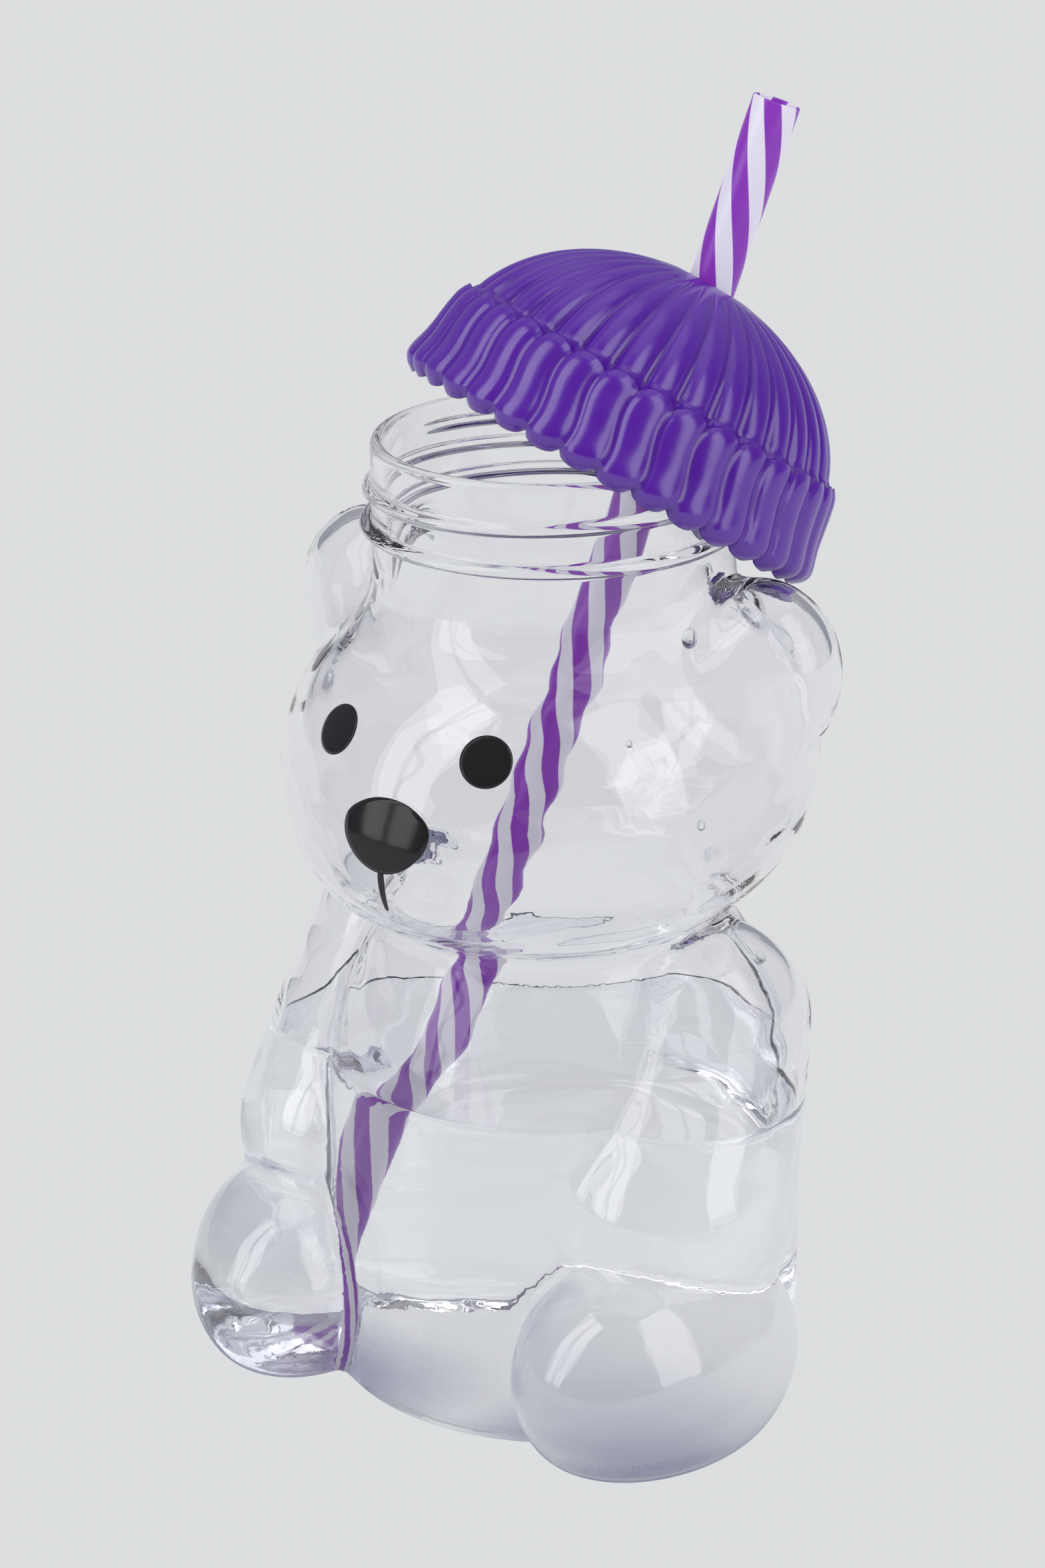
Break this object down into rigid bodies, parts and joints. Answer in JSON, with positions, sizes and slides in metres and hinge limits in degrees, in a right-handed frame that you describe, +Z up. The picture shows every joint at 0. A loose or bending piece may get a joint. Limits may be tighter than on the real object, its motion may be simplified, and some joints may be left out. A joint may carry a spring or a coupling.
{
  "type": "bear-shaped drink bottle with straw",
  "caption": "Clear seated-bear drink bottle with a wide screw neck, a ribbed knit-cap lid resting askew on it and a striped straw through the lid's hole.",
  "frame": {"origin": "on the surface the bottle stands on, below the middle of its neck", "axes": "+Z up along the neck's axis, the bear faces -Y, so its left side is +X"},
  "size_m": [0.1108, 0.0965, 0.2178],
  "materials": {
    "clear_plastic": "clear, polished",
    "black_ink": "glossy printed ink",
    "purple_plastic": "satin gloss",
    "white_silicone": "matte",
    "striped_plastic": "purple and white stripes"
  },
  "bodies": {
    "bottle": {"bottle_shell": "clear_plastic", "left_eye_print": "black_ink", "right_eye_print": "black_ink", "nose_and_mouth_print": "black_ink"},
    "lid_seal": {"lid_gasket": "white_silicone"},
    "lid": {"beanie_lid": "purple_plastic"},
    "straw": {"straw": "striped_plastic"}
  },
  "joints": [
    {"name": "lid_lift", "type": "slide", "parent": "bottle", "child": "lid_seal", "axis": [0.2299, 0.251, 0.9403], "range_m": [0, 0.09]},
    {"name": "lid_turn", "type": "hinge", "parent": "lid_seal", "child": "lid", "pos_m": [0.00457, 0.00717, 0.1566], "axis": [0.2911, 0.4569, 0.8406], "continuous": true},
    {"name": "straw_slide", "type": "slide", "parent": "bottle", "child": "straw", "axis": [0.2299, 0.251, 0.9403], "range_m": [0, 0.215]}
  ]
}
